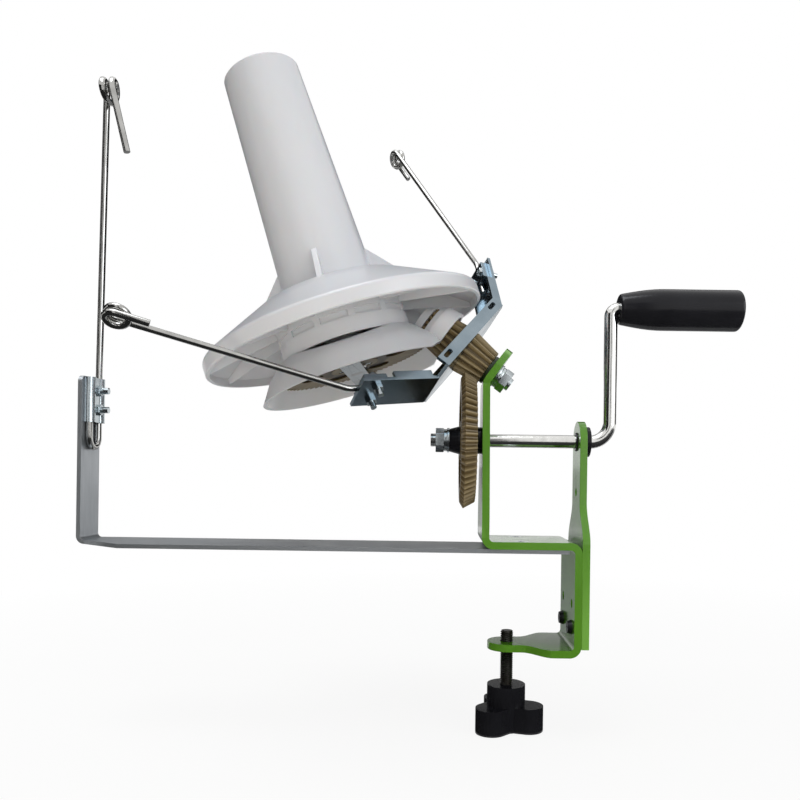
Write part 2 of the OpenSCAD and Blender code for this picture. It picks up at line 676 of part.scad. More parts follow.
// Bent steel crank.
crank_end_x = gear_x - 20.2;
crank_bend = 12;
grip_x0 = arm_x + rod_r + 0.6;
grip_bore_len = grip_len - 10;
retainer_t = 1;
rod_tip_x = grip_x0 + grip_bore_len + retainer_t + 0.8;
module crank_rod() {
  color(steel) {
    translate([crank_end_x, 0, 0]) at_crank() cylinder(r = rod_r, h = arm_x - crank_bend - crank_end_x);
    translate([arm_x - crank_bend, 0, crank_h + crank_bend]) rotate([90, 0, 0]) rotate([0, 0, -90])
      rotate_extrude(angle = 90) translate([crank_bend, 0]) circle(r = rod_r);
    translate([arm_x, 0, crank_h + crank_bend]) cylinder(r = rod_r, h = arm_len - crank_bend - grip_bend);
    translate([arm_x + grip_bend, 0, crank_h + arm_len - grip_bend]) rotate([90, 0, 0])
      rotate([0, 0, 90]) rotate_extrude(angle = 90) translate([grip_bend, 0]) circle(r = rod_r);
    translate([arm_x + grip_bend, 0, arm_len]) at_crank() cylinder(r = rod_r, h = rod_tip_x - arm_x - grip_bend);
  }
}
grip_bend = rod_r + 0.3;

// Brown bevel gear on the crank, with its clamping hub, washers and nut.
back_len = 2.2;
back_drop = 3.6;
gear_boss_r = 12;
web_x1 = front_out - front_collar - float_gap;
web_t = 3.4;
rim_in_r = 30;
module drive_gear() {
  left = gear_x - back_len;
  color(gear_brown) difference() {
    translate([gear_x, 0, 0]) at_crank() rotate([0, 0, 180 / drive_teeth + 180]) {
      bevel_teeth(drive_teeth, drive_r, drive_cone_a, drive_axial, drive_span);
      mirror([0, 0, 1]) linear_extrude(height = back_len, scale = (drive_r - back_drop) / drive_r)
        polygon(gear_outline(drive_teeth, drive_r, drive_cone_a));
    }
    translate([web_x1, 0, 0]) at_crank() cylinder(r = rim_in_r, h = far);
    translate([left - 1, 0, 0]) at_crank() ring(rim_in_r, gear_boss_r, web_x1 - web_t - left + 1);
    translate([left - 1, 0, 0]) at_crank() cylinder(r = rod_r + fixed_fit, h = far);
  }
}
hub_len = 6.5;
hub_r = 8.7;
module gear_hub() {
  x1 = gear_x - back_len;
  color(black_plastic) translate([x1 - hub_len, 0, 0]) at_crank() difference() {
    cylinder(r1 = hub_r - 1.7, r2 = hub_r, h = hub_len);
    translate([0, 0, -1]) cylinder(r = rod_r + fixed_fit, h = hub_len + 2);
  }
}
crank_washer_x = gear_x - back_len - hub_len;
module crank_washers() {
  color(zinc) {
    translate([crank_washer_x - washer_t, 0, 0]) at_crank() ring(axle_washer_r, rod_r + fixed_fit, washer_t);
    translate([crank_washer_x - washer_t - spring_t, 0, 0]) at_crank()
      ring(axle_spring_r, rod_r + fixed_fit, spring_t - eps);
  }
}
module crank_nut() {
  color(zinc) translate([crank_washer_x - washer_t - spring_t - nut_h, 0, 0]) at_crank()
    hex_nut(nut_af, rod_r + fixed_fit, nut_h - eps);
}

// Handle that turns on the end of the crank, with its retainer and end plug.
grip_r = grip_d / 2;
grip_neck_r = grip_neck_d / 2;
grip_swell = 26;
pocket_r = 8;
plug_t = 3;
plug_round = 2;
module grip_retainer() {
  color(zinc) translate([grip_x0 + grip_bore_len + float_gap, 0, arm_len]) at_crank()
    ring(6.5, rod_r + fixed_fit, retainer_t);
}
module crank_grip() {
  color(black_plastic) translate([grip_x0, 0, arm_len]) at_crank() difference() {
    rotate_extrude() polygon(concat(
      [[0, 0], [grip_neck_r - 1.5, 0], [grip_neck_r - 0.4, 0.5], [grip_neck_r, 1.6]],
      [for (i = [1:8]) let (t = i / 8) [grip_neck_r + (grip_r - grip_neck_r) * sin(90 * t), 1.6 + grip_swell * t]],
      arc(grip_r - plug_round, grip_len - plug_round, plug_round, 0, 90, 6), [[0, grip_len]]));
    translate([0, 0, -1]) cylinder(r = rod_r + run_fit, h = grip_len);
    translate([0, 0, grip_bore_len]) cylinder(r = pocket_r, h = grip_len);
  }
}
module grip_plug() {
  color(black_plastic) translate([grip_x0 + grip_len - plug_t, 0, arm_len]) at_crank()
    rotate_extrude() polygon(concat(
      [[0, 0], [pocket_r - fixed_fit, 0], [pocket_r - fixed_fit, plug_t]], [[0, plug_t + 0.8]]));
}

// Two pinions either side of the yoke, keyed together and running on the fixed axle.
module drive_pinion() {
  color(gear_brown) at_flyer() difference() {
    union() {
      translate([0, 0, yoke_s]) mirror([0, 0, 1]) rotate([0, 0, 180])
        bevel_teeth(pinion_teeth, yoke_s * tan(pinion_cone_a), pinion_cone_a, yoke_s, pinion_len);
      translate([0, 0, yoke_s - eps]) cylinder(r = spigot_r, h = spigot_len + eps);
    }
    translate([0, 0, pinion_s - 1]) cylinder(r = axle_r + run_fit, h = pinion_len + spigot_len + 2);
  }
}
module cone_pinion() {
  apex = cross_s - cone_pinion_s0;
  color(gear_brown) at_flyer() translate([0, 0, cone_pinion_s0]) difference() {
    rotate([0, 0, 180]) bevel_teeth(
      pinion_teeth, apex * tan(cone_pinion_a), cone_pinion_a, apex, cone_pinion_s1 - cone_pinion_s0);
    translate([0, 0, -1]) cylinder(r = axle_r + run_fit, h = far);
    translate([0, 0, -1]) cylinder(r = spigot_r + fixed_fit, h = spigot_len - yoke_t + 1 + fixed_fit);
  }
}
// Pressed channel: flat plate with side flanges and two raised legs.
leg_w = 22;
yoke_bend = 1;
leg_flange = 4;
bend_rad = yoke_bend + yoke_t;
slot_len = 6;
slot_w = 2.8;
slot_at = yoke_half - 14;
module yoke_leg() {
  translate([yoke_half, 0, yoke_s + bend_rad]) {
    sheet_bend(0, 0, yoke_bend + thin, yoke_t - 2 * thin, leg_w - 2 * thin, -94, leg_rise + 8);
    rotate([0, -leg_rise, 0]) {
      translate([0, -leg_w / 2, -bend_rad]) difference() {
        cube([leg_len, leg_w, yoke_t]);
        for (y = [-1, 1]) translate([clip_at, leg_w / 2 + y * flyer_screw_y, -1])
          cylinder(r = flyer_screw_r + fixed_fit, h = yoke_t + 2);
      }
      for (s = [-1, 1]) translate([2, s > 0 ? leg_w / 2 - yoke_t : -leg_w / 2, -bend_rad])
        cube([leg_len - 22, yoke_t, yoke_t + leg_flange]);
    }
  }
}
module yoke() {
  color(zinc) in_flyer() difference() {
    union() {
      translate([0, 0, yoke_s]) linear_extrude(yoke_t) polygon([
        [-yoke_half + 6, -yoke_w / 2], [yoke_half - 6, -yoke_w / 2], [yoke_half, -leg_w / 2],
        [yoke_half, leg_w / 2], [yoke_half - 6, yoke_w / 2], [-yoke_half + 6, yoke_w / 2],
        [-yoke_half, leg_w / 2], [-yoke_half, -leg_w / 2]]);
      for (s = [-1, 1]) translate([-yoke_half + 6, s > 0 ? yoke_w / 2 - yoke_t : -yoke_w / 2, yoke_s])
        cube([2 * yoke_half - 12, yoke_t, yoke_t + flange_h]);
      for (a = [0, 180]) rotate([0, 0, a]) yoke_leg();
    }
    translate([0, 0, yoke_s - 1]) cylinder(r = spigot_r + fixed_fit, h = yoke_t + 2);
    for (s = [-1, 1]) translate([s * slot_at, yoke_w, yoke_s + yoke_t + flange_h / 2]) rotate([90, 0, 0])
      linear_extrude(2 * yoke_w) polygon(concat(
        arc(slot_len / 2, 0, slot_w / 2, -90, 90, 6), arc(-slot_len / 2, 0, slot_w / 2, 90, 270, 6)));
  }
}
// Each wire lies on its leg under a clip with two screws, then bends towards its eye.
clip_at = leg_len - 10;
flyer_screw_y = 5.5;
flyer_screw_r = 1.7;
flyer_clip_l = 14;
flyer_clip_w = 17;
flyer_clip_h = flyer_wire_d + 1.2;
wire_lift = flyer_wire_d / 2 + fixed_fit;
module on_leg(a) {
  in_flyer() rotate([0, 0, a]) translate([yoke_half, 0, yoke_s + bend_rad]) rotate([0, -leg_rise, 0])
    translate([0, 0, -yoke_bend]) children();
}
module flyer_clips() {
  color(zinc) for (a = [0, 180]) on_leg(a) difference() {
    translate([clip_at - flyer_clip_l / 2, -flyer_clip_w / 2, 0]) cube([flyer_clip_l, flyer_clip_w, flyer_clip_h]);
    translate([clip_at - flyer_clip_l, 0, wire_lift]) rotate([0, 90, 0])
      cylinder(r = flyer_wire_d / 2 + fixed_fit, h = 2 * flyer_clip_l);
    translate([clip_at - flyer_clip_l, -flyer_wire_d / 2 - fixed_fit, -1])
      cube([2 * flyer_clip_l, flyer_wire_d + 2 * fixed_fit, wire_lift + 1]);
    for (s = [-1, 1]) translate([clip_at, s * flyer_screw_y, -1])
      cylinder(r = flyer_screw_r + fixed_fit, h = flyer_clip_h + 2);
  }
}
module flyer_screws() {
  color(zinc) for (a = [0, 180], s = [-1, 1]) on_leg(a) translate([clip_at, s * flyer_screw_y, 0]) {
    translate([0, 0, flyer_clip_h]) rotate([180, 0, 0])
      pan_screw(flyer_screw_r, flyer_clip_h + yoke_t + 6, 2.9, 1.8);
    translate([0, 0, -yoke_t - 2.4]) hex_nut(5.5, flyer_screw_r + fixed_fit, 2.4);
  }
}
flyer_eye_r = 5.2;
flyer_pitch = 4.3;
flyer_tail = 15;
wire_back = 24;
bend_steps = 4;
wire_turn = 90 - flyer_flare - leg_rise;
function leg_point(l) = [yoke_half + l * cos(leg_rise) - (wire_lift - yoke_bend) * sin(leg_rise), 0,
  yoke_s + bend_rad + l * sin(leg_rise) + (wire_lift - yoke_bend) * cos(leg_rise)];
wire_bend_r = 10;
bend_in = wire_bend_r * tan(wire_turn / 2);
bend_start = leg_point(leg_len + 2);
wire_dir = [sin(flyer_flare), 0, cos(flyer_flare)];
wire_in = [-cos(flyer_flare), 0, sin(flyer_flare)];
bend_mid = bend_start + bend_in * [cos(leg_rise), 0, sin(leg_rise)];
eye_start = bend_mid + (flyer_len - bend_in) * wire_dir;
flyer_eye = eye(eye_start, wire_dir, [0, 1, 0], -wire_in, flyer_eye_r, flyer_pitch);
flyer_path = concat(
  [leg_point(leg_len - wire_back)],
  [for (i = [0:bend_steps]) let (a = leg_rise + wire_turn * i / bend_steps)
    bend_start + wire_bend_r * [sin(a) - sin(leg_rise), 0, cos(leg_rise) - cos(a)]],
  [eye_start], flyer_eye,
  [flyer_eye[len(flyer_eye) - 1] - flyer_tail * wire_dir]);
echo(flyer_eye_gap = self_gap(concat([eye_start], flyer_eye), flyer_wire_d, 18));
echo(guide_eye_gap = self_gap(concat([guide_eye_start], guide_eye), guide_wire_d, 18));
module flyer_wire_near() {
  color(steel) in_flyer() rotate([0, 0, 180]) wire(flyer_path, flyer_wire_d, wire_in);
}
module flyer_wire_far() {
  color(steel) in_flyer() wire(flyer_path, flyer_wire_d, wire_in);
}

// White winding cone: tube, fins, flange with its lip, ribs, skirt with recesses, and hub.
lip_round = 3;
fin_t = 3;
fin_up = 22;
fin_out = 19;
rib_count = 12;
rib_t = 1.8;
recess_half = 12;
recess_up = 9.5;
recess_deep = 1.2;
tube_round = 1;
flange_z_at = function (r) -max(0, r - seat_r) * flange_slope;
module cone_shell() {
  drop = wall * sqrt(1 + flange_slope * flange_slope);
  rotate_extrude() polygon(concat(
    [[tube_top_r - wall, tube_len], [tube_top_r - tube_round, tube_len], [tube_top_r, tube_len - tube_round],
     [tube_foot_r, 0], [seat_r, 0]],
    arc(rim_r - lip_round, lip_z1 - lip_round + flange_slope * lip_round, lip_round, 60, 0, 6),
    [[rim_r, lip_z0 + 0.6], [rim_r - 0.6, lip_z0], [rim_r - wall, lip_z0], [rim_r - wall, lip_z1 - drop],
     [seat_r, -drop], [tube_foot_r - wall, -drop]]));
}
module spindle_cone() {
  color(white_plastic) at_cone() difference() {
    union() {
      cone_shell();
      for (a = [0:90:270]) rotate([90, 0, a]) translate([0, 0, -fin_t / 2]) linear_extrude(fin_t) polygon([
        [tube_foot_r - 1, fin_up], [tube_foot_r - 1, -1],
        [tube_foot_r + fin_out, flange_z_at(tube_foot_r + fin_out) - 1],
        [tube_foot_r + fin_out, flange_z_at(tube_foot_r + fin_out)]]);
      for (a = [0:360 / rib_count:359]) rotate([90, 0, a + 15]) translate([0, 0, -rib_t / 2])
        linear_extrude(rib_t) polygon([
          [skirt_r1 - 1, -1], [seat_r, -1], [rim_r - wall / 2, lip_z1 - 1.5],
          [rim_r - wall / 2, lip_z1 - 6], [skirt_r1 - 1, lip_z1 + 4]]);
      rotate_extrude() polygon([
        [skirt_r0, flange_z_at(skirt_r0) - 1], [skirt_r1, flange_z_at(skirt_r1) - 1],
        [skirt_r1, skirt_z0], [skirt_r0, skirt_z0]]);
      translate([0, 0, hub_split_z]) cylinder(r = cone_hub_r, h = hub_top_z - hub_split_z);
      translate([0, 0, -wall - 2]) cylinder(r = tube_foot_r - wall / 2, h = wall + 2);
    }
    translate([0, 0, hub_split_z - 1]) cylinder(r = post_r + run_fit, h = hub_top_z - hub_split_z + 2);
    for (a = [0:360 / rib_count:359]) rotate([0, 0, a - recess_half]) rotate_extrude(angle = 2 * recess_half)
      translate([skirt_r1 - recess_deep, skirt_z0 + recess_up])
        square([recess_deep + 1, lip_z1 + 2 - skirt_z0 - recess_up]);
    cone_gear_drillings(hub_split_z - 1, 11);
  }
}
// Brown bevel gear under the cone, screwed to the cone's hub.
gear_screw_pcd = 19;
gear_screw_r = 1.5;
gear_screw_head = 2.7;
gear_hole_r = 7;
gear_hole_at = 27;
gear_dish = 1.4;
module cone_gear_drillings(z, h) {
  for (a = [30:120:270]) rotate([0, 0, a]) translate([gear_screw_pcd / 2, 0, z])
    cylinder(r = gear_screw_r + fixed_fit, h = h);
}
module cone_gear() {
  color(gear_brown) at_cone() difference() {
    union() {
      translate([0, 0, cone_gear_z]) rotate([0, 0, 180 / cone_teeth])
        bevel_teeth(cone_teeth, cone_gear_r, cone_gear_a, cone_axial, cone_span);
      translate([0, 0, gear_hub_z0]) cylinder(r = gear_hub_r, h = hub_split_z - gear_hub_z0);
    }
    translate([0, 0, gear_hub_z0 - 1]) cylinder(r = post_r + run_fit, h = hub_split_z - gear_hub_z0 + 2);
    translate([0, 0, cone_gear_z + gear_web]) ring(cone_gear_r - 8, gear_hub_r, cone_span);
    for (a = [0:60:300]) rotate([0, 0, a]) translate([gear_hole_at, 0, cone_gear_z - 1])
      cylinder(r = gear_hole_r, h = 1 + gear_dish);
    cone_gear_drillings(gear_hub_z0 - 1, hub_split_z - gear_hub_z0 + 2);
    for (a = [30:120:270]) rotate([0, 0, a]) translate([gear_screw_pcd / 2, 0, gear_hub_z0 - 1])
      cylinder(r = gear_screw_head + fixed_fit, h = 3);
  }
}
module cone_gear_screws() {
  color(zinc) at_cone() for (a = [30:120:270]) rotate([0, 0, a])
    translate([gear_screw_pcd / 2, 0, gear_hub_z0 + 2]) pan_screw(gear_screw_r, 19, gear_screw_head, 1.8);
}

// Clamp screw and its three-lobed knob.
screw_tip_z = jaw_z1 + screw_up;
knob_z1 = jaw_z0 - screw_below;
knob_z0 = knob_z1 - knob_h;
hub_deep = 20;
lobe_r = 9.5;
lobe_h = 15;
lobe_turn = -16;
module clamp_screw() {
  color([0.30, 0.28, 0.25]) translate([0, 0, knob_z1 - hub_deep])
    cylinder(r = screw_d / 2, h = screw_tip_z - knob_z1 + hub_deep);
}
module clamp_knob() {
  color(black_plastic) difference() {
    union() {
      translate([0, 0, knob_z0]) cylinder(d = hub_d, h = knob_h);
      translate([0, 0, knob_z0]) linear_extrude(lobe_h) for (a = [0:120:240]) rotate(a + lobe_turn) {
        translate([lobe_reach - lobe_r, 0]) circle(r = lobe_r);
        translate([0, -lobe_r]) square([lobe_reach - lobe_r, 2 * lobe_r]);
      }
    }
    translate([0, 0, knob_z1 - hub_deep - float_gap])
      cylinder(r = screw_d / 2 + run_fit, h = hub_deep + float_gap + 1);
  }
}

main_bracket();
rear_upright();
leg_screws();
guide_bar();
bar_screws();
guide_clip();
guide_clip_screws();
guide_wire();
front_bush();
rear_bush();
spindle_axle();
axle_washers();
axle_nut();
pinion_spacer();
gear_housing();
cone_carrier();
carrier_screws();
cone_post();
post_washer();
post_screw();
crank_rod();
drive_gear();
gear_hub();
crank_washers();
crank_nut();
grip_retainer();
crank_grip();
grip_plug();
drive_pinion();
cone_pinion();
yoke();
flyer_clips();
flyer_screws();
flyer_wire_near();
flyer_wire_far();
spindle_cone();
cone_gear();
cone_gear_screws();
clamp_screw();
clamp_knob();
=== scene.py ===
import json
import math

import bmesh
import bpy
from mathutils import Matrix, Vector


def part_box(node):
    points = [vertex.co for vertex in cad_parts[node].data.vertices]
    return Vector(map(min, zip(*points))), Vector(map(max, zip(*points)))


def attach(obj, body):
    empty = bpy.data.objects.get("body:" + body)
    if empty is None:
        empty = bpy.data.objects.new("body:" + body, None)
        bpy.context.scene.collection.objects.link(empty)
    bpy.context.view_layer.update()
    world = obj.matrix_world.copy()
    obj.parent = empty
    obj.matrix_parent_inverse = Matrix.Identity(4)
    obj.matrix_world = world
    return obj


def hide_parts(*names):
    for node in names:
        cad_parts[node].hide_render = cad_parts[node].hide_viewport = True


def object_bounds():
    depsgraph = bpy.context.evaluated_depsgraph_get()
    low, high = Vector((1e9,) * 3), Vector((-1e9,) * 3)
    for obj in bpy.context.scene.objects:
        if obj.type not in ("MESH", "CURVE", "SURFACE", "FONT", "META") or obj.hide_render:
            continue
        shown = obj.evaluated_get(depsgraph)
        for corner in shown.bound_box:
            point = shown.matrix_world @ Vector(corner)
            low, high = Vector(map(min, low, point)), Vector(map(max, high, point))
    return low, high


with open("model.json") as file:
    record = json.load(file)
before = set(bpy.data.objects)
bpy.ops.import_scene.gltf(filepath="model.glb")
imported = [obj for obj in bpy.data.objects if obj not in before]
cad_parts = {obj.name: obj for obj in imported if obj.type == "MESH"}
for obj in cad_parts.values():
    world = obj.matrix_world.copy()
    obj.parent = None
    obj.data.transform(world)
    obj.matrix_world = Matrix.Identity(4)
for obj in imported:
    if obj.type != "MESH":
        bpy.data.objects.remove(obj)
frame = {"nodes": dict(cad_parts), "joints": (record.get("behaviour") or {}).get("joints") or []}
cad_low, cad_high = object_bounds()
nodes = frame["nodes"]
joints = {joint["name"]: joint for joint in frame["joints"]}
MM = 0.001


# Painted frame: a strip of 4.4 mm sheet steel, bent to a jaw, leg, table plate and
# upright with a sloping lug, and a pin-shaped rear upright screwed to the leg.
# Both are sprayed with a thick glossy green that pulls thin and pale along the edges.
PAINT_GREEN = (0.078, 0.225, 0.012)
PAINT_PALE = (0.165, 0.390, 0.055)
PAINT_PEEL_SCALE = 420.0
PAINT_EDGE = 0.7 * MM


def new_finish(name):
    """A node material with its shader, and the object coordinates that its grain follows."""
    material = bpy.data.materials.new(name)
    material.use_nodes = True
    tree = material.node_tree
    shader = tree.nodes["Principled BSDF"]
    place = tree.nodes.new("ShaderNodeTexCoord")
    return material, tree, shader, place.outputs["Object"]


def add_noise(tree, place, scale, detail=3.0, stretch=None):
    """Noise in the object's own space, drawn out along one axis where stretch is given."""
    noise = tree.nodes.new("ShaderNodeTexNoise")
    noise.inputs["Scale"].default_value = scale
    noise.inputs["Detail"].default_value = detail
    if stretch is not None:
        mapping = tree.nodes.new("ShaderNodeMapping")
        mapping.inputs["Scale"].default_value = stretch
        tree.links.new(place, mapping.inputs["Vector"])
        place = mapping.outputs["Vector"]
    tree.links.new(place, noise.inputs["Vector"])
    return noise.outputs["Fac"]


def add_ramp(tree, value, low, high, low_colour, high_colour):
    """A colour that goes from low_colour to high_colour as value goes from low to high."""
    ramp = tree.nodes.new("ShaderNodeValToRGB")
    first, last = ramp.color_ramp.elements
    first.position, last.position = low, high
    first.color, last.color = (*low_colour, 1.0), (*high_colour, 1.0)
    tree.links.new(value, ramp.inputs["Fac"])
    return ramp.outputs["Color"]


def add_range(tree, value, low, high):
    """value from 0 to 1, spread from low to high."""
    spread = tree.nodes.new("ShaderNodeMapRange")
    spread.inputs["To Min"].default_value = low
    spread.inputs["To Max"].default_value = high
    tree.links.new(value, spread.inputs["Value"])
    return spread.outputs["Result"]


def add_bump(tree, shader, height, depth, strength):
    bump = tree.nodes.new("ShaderNodeBump")
    bump.inputs["Distance"].default_value = depth
    bump.inputs["Strength"].default_value = strength
    tree.links.new(height, bump.inputs["Height"])
    tree.links.new(bump.outputs["Normal"], shader.inputs["Normal"])


def set_shine(tree, shader, place, scale, detail, low, high):
    """Patches of more and less shine, with the roughness between low and high."""
    patches = add_noise(tree, place, scale, detail)
    tree.links.new(add_range(tree, patches, low, high), shader.inputs["Roughness"])


def add_edge_wear_and_light(tree, low, high):
    """How much an edge stands out, from 0 on flats to 1 on sharp outer edges: paint wear on the
    frame, painted shade and painted highlight on the gear teeth.
    """
    geometry = tree.nodes.new("ShaderNodeNewGeometry")
    wear = tree.nodes.new("ShaderNodeMapRange")
    wear.inputs["From Min"].default_value = low
    wear.inputs["From Max"].default_value = high
    tree.links.new(geometry.outputs["Pointiness"], wear.inputs["Value"])
    return wear.outputs["Result"]


def blend_colours(tree, amount, first, second):
    """first where amount is 0 and second where it is 1."""
    mix = tree.nodes.new("ShaderNodeMix")
    mix.data_type = "RGBA"
    tree.links.new(amount, mix.inputs["Factor"])
    colour_in = [s for s in mix.inputs if s.type == "RGBA"]
    for colour, socket in ((first, colour_in[0]), (second, colour_in[1])):
        if isinstance(colour, tuple):
            socket.default_value = (*colour, 1.0)
        else:
            tree.links.new(colour, socket)
    return [s for s in mix.outputs if s.type == "RGBA"][0]


def smoothing_nodes(angle):
    """A node group that shades faces smooth and keeps edges sharper than angle crisp."""
    group = bpy.data.node_groups.new("smooth_to_angle", "GeometryNodeTree")
    group.interface.new_socket("Geometry", in_out="INPUT", socket_type="NodeSocketGeometry")
    group.interface.new_socket("Geometry", in_out="OUTPUT", socket_type="NodeSocketGeometry")
    start = group.nodes.new("NodeGroupInput")
    end = group.nodes.new("NodeGroupOutput")
    faces = group.nodes.new("GeometryNodeSetShadeSmooth")
    edges = group.nodes.new("GeometryNodeSetShadeSmooth")
    edges.domain = "EDGE"
    fold = group.nodes.new("GeometryNodeInputMeshEdgeAngle")
    compare = group.nodes.new("FunctionNodeCompare")
    compare.data_type = "FLOAT"
    compare.operation = "LESS_THAN"
    compare.inputs["B"].default_value = angle
    group.links.new(fold.outputs["Unsigned Angle"], compare.inputs["A"])
    group.links.new(start.outputs["Geometry"], faces.inputs["Geometry"])
    group.links.new(faces.outputs["Geometry"], edges.inputs["Geometry"])
    group.links.new(compare.outputs["Result"], edges.inputs["Shade Smooth"])
    group.links.new(edges.outputs["Geometry"], end.inputs["Geometry"])
    return group


SMOOTHING = smoothing_nodes(math.radians(38))


def soften(obj, edge, segments=2):
    """Joins split corners, rounds the edges by edge metres and shades the result smooth."""
    weld = obj.modifiers.new("weld", "WELD")
    weld.merge_threshold = 0.004 * MM
    if edge > 0:
        bevel = obj.modifiers.new("edge", "BEVEL")
        bevel.width = edge
        bevel.segments = segments
        bevel.limit_method = "ANGLE"
        bevel.angle_limit = math.radians(42)
        bevel.miter_outer = "MITER_ARC"
    smooth = obj.modifiers.new("smooth", "NODES")
    smooth.node_group = SMOOTHING
    if edge > 0:
        even = obj.modifiers.new("even", "WEIGHTED_NORMAL")
        even.keep_sharp = True


def dress(material, edge, *names, segments=2):
    """Gives CAD nodes their finish and their edge radius."""
    for name in names:
        obj = nodes[name]
        obj.data.materials.clear()
        obj.data.materials.append(material)
        soften(obj, edge, segments)


green_paint, tree, shader, place = new_finish("green_paint")
blotch = add_noise(tree, place, 26.0)
body_colour = add_ramp(tree, blotch, 0.35, 0.70, PAINT_GREEN, tuple(c * 1.12 for c in PAINT_GREEN))
worn = add_edge_wear_and_light(tree, 0.54, 0.62)
tree.links.new(blend_colours(tree, worn, body_colour, PAINT_PALE), shader.inputs["Base Color"])
set_shine(tree, shader, place, scale=60.0, detail=3.0, low=0.14, high=0.26)
add_bump(tree, shader, add_noise(tree, place, PAINT_PEEL_SCALE, 1.0), 0.05 * MM, 0.25)
shader.inputs["Specular IOR Level"].default_value = 0.4
shader.inputs["Coat Weight"].default_value = 0.25
shader.inputs["Coat Roughness"].default_value = 0.12
dress(green_paint, PAINT_EDGE, "main_bracket", "rear_upright", segments=3)


# Frame screws: two blackened pan heads that hold the leg to the rear upright, and two
# plated countersunk screws that hold the guide bar under the table plate. The other
# small fasteners and the strap in the bell have the same clouded zinc plate.
BLACKENED = (0.012, 0.012, 0.014)
ZINC = (0.62, 0.66, 0.67)
ZINC_BLUE = (0.47, 0.53, 0.56)
FASTENER_EDGE = 0.25 * MM

blackened, tree, shader, place = new_finish("blackened_steel")
tree.links.new(add_ramp(tree, add_noise(tree, place, 90.0), 0.3, 0.7, BLACKENED,
                        tuple(c * 2.2 for c in BLACKENED)), shader.inputs["Base Color"])
set_shine(tree, shader, place, scale=140.0, detail=3.0, low=0.28, high=0.45)
shader.inputs["Metallic"].default_value = 0.6
dress(blackened, FASTENER_EDGE, "leg_screws")


def plating(name, dull, clear):
    """Clouded zinc plate on steel, from a dull colour to a clear one."""
    plate, tree, shader, place = new_finish(name)
    cloud = add_noise(tree, place, 45.0, 5.0)
    tree.links.new(add_ramp(tree, cloud, 0.30, 0.72, dull, clear), shader.inputs["Base Color"])
    set_shine(tree, shader, place, scale=110.0, detail=4.0, low=0.14, high=0.30)
    add_bump(tree, shader, add_noise(tree, place, 300.0, 2.0), 0.02 * MM, 0.3)
    shader.inputs["Metallic"].default_value = 1.0
    return plate


zinc_plate = plating("zinc_plate", ZINC_BLUE, ZINC)
dress(zinc_plate, FASTENER_EDGE, "bar_screws", "axle_washers", "axle_nut", "crank_washers",
      "crank_nut", "carrier_screws", "post_washer", "post_screw", "cone_gear_screws", "flyer_screws",
      "guide_clip_screws", "grip_retainer", "cone_carrier")


# Guide bar: a flat bar of plated steel, bent up at its far end to a narrower upright.
# The rolled surface has fine lines along the bar and a dull blue-grey plating.
BAR_GREY = (0.44, 0.46, 0.48)
BAR_DARK = (0.38, 0.40, 0.42)
BAR_EDGE = 0.4 * MM

bar_steel, tree, shader, place = new_finish("bar_steel")
rolled = add_noise(tree, place, 60.0, 4.0, stretch=(0.15, 6.0, 0.8))
tree.links.new(add_ramp(tree, rolled, 0.30, 0.70, BAR_DARK, BAR_GREY), shader.inputs["Base Color"])
set_shine(tree, shader, place, scale=70.0, detail=3.0, low=0.30, high=0.46)
add_bump(tree, shader, rolled, 0.03 * MM, 0.3)
shader.inputs["Metallic"].default_value = 0.85
dress(bar_steel, BAR_EDGE, "guide_bar")


# Yarn guide: a bright steel wire with a hairpin at its foot and a coiled eye at its top,
# held to the bar's upright by a pressed saddle with two through screws and nuts.
BRIGHT_STEEL = (0.52, 0.515, 0.495)
BRIGHT_DARK = (0.40, 0.395, 0.38)
CLIP_EDGE = 0.3 * MM


def drawn_steel(name, dark, light):
    """Bright drawn steel with a faint grain."""
    steel, tree, shader, place = new_finish(name)
    drawn = add_noise(tree, place, 160.0, 3.0)
    tree.links.new(add_ramp(tree, drawn, 0.32, 0.68, dark, light), shader.inputs["Base Color"])
    set_shine(tree, shader, place, scale=220.0, detail=3.0, low=0.08, high=0.18)
    add_bump(tree, shader, drawn, 0.015 * MM, 0.25)
    shader.inputs["Metallic"].default_value = 1.0
    return steel


bright_steel = drawn_steel("bright_steel", BRIGHT_DARK, BRIGHT_STEEL)
dress(zinc_plate, CLIP_EDGE, "guide_clip")
dress(bright_steel, 0.0, "guide_wire")


# Fixed axle and the thread on its lower end: an M8 stud through the lug, locked by a nut
# and washers, with a dark moulded spacer between the lug and the pinion.
AXLE_R = 4.0 * MM
AXLE_END = 58.3 * MM
STUB_LEN = 2.0 * MM
THREAD_PITCH = 1.25 * MM
THREAD_CREST = AXLE_R + 0.12 * MM
THREAD_CHAMFER = 0.8 * MM
THREAD_TAPER = 0.8
THREAD_SINK = 0.1 * MM
THREAD_DEPTH = 0.70 * MM
THREAD_SIDES = 28
THREAD_ROWS = 8
SPACER_GREEN = (0.020, 0.035, 0.014)


